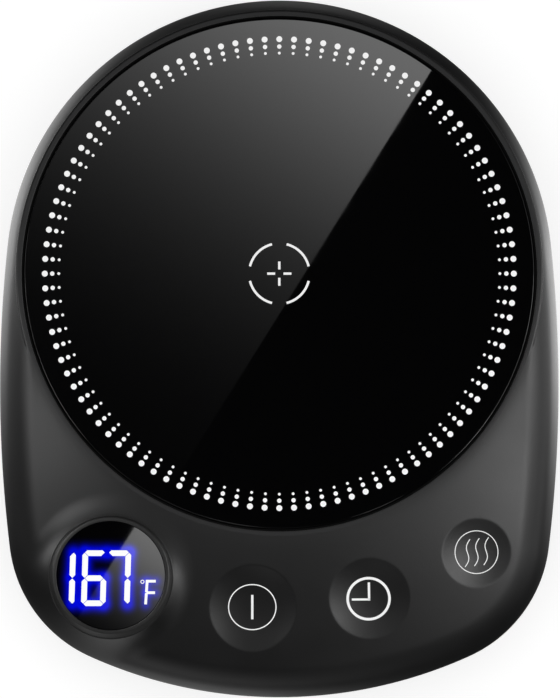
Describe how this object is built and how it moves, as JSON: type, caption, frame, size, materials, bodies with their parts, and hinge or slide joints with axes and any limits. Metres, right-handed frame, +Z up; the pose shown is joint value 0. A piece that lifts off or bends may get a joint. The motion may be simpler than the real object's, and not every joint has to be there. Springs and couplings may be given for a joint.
{
  "type": "mug warmer",
  "caption": "Low black pebble-shaped electric mug warmer with a round glass heating plate, a raised round display and dished touch keys along its front.",
  "frame": {"origin": "on the table, under the middle of the plan", "axes": "+Z up, +Y from the controls at the front to the cord gland at the back, +X to the user's right"},
  "size_m": [0.1202, 0.15, 0.0259],
  "materials": {
    "housing_plastic": "fine satin black moulding",
    "bezel_plastic": "satin black ring",
    "black_glass": "polished black glass with a printed white dot ring",
    "smoked_lens": "polished smoked lens over lit digits",
    "silicone": "black silicone",
    "foot_rubber": "soft black rubber",
    "screw_steel": "blackened and zinc-plated screws",
    "spreader_aluminium": "rolled sheet",
    "mica": "pressed mica sheet",
    "heater_foil": "etched resistance foil",
    "ceramic_felt": "ceramic fibre felt",
    "pressed_steel": "galvanised sheet",
    "circuit_board": "green solder mask",
    "chip_plastic": "black moulded package",
    "display_block": "grey reflector block",
    "plated_spring": "nickel-plated spring wire",
    "relay_case": "blue sealed case",
    "ferrite": "sintered ferrite with a taped winding",
    "capacitor_can": "sleeved aluminium can",
    "film_case": "yellow moulded box",
    "fuse_glass": "glass tube with plated caps",
    "terminal_plastic": "green moulding",
    "sensor_bead": "coated bead",
    "lead_sleeve": "silicone sleeving",
    "nylon": "natural nylon"
  },
  "bodies": {
    "root": {"upper_housing": "housing_plastic", "base_cover": "housing_plastic", "rubber_feet": "foot_rubber", "case_screws": "screw_steel", "cord_gland": "foot_rubber", "glass_plate": "black_glass", "plate_gasket": "silicone", "heat_spreader": "spreader_aluminium", "upper_mica": "mica", "heater_track": "heater_foil", "lower_mica": "mica", "insulation_pad": "ceramic_felt", "retaining_plate": "pressed_steel", "plate_screws": "screw_steel", "display_bezel": "bezel_plastic", "display_lens": "smoked_lens", "display_module": "display_block", "control_board": "circuit_board", "control_board_screws": "screw_steel", "touch_springs": "plated_spring", "microcontroller": "chip_plastic", "buzzer": "chip_plastic", "power_board": "circuit_board", "power_board_screws": "screw_steel", "relay": "relay_case", "transformer": "ferrite", "smoothing_capacitor": "capacitor_can", "film_capacitor": "film_case", "board_fuse": "fuse_glass", "terminal_block": "terminal_plastic", "thermistor": "sensor_bead", "thermistor_clip": "pressed_steel", "thermal_fuse": "sensor_bead", "fuse_clip": "pressed_steel", "heater_leads": "lead_sleeve", "sensor_lead": "lead_sleeve", "lead_connector": "nylon", "board_link": "lead_sleeve", "cord_clamp": "nylon", "clamp_screws": "screw_steel"}
  },
  "joints": []
}
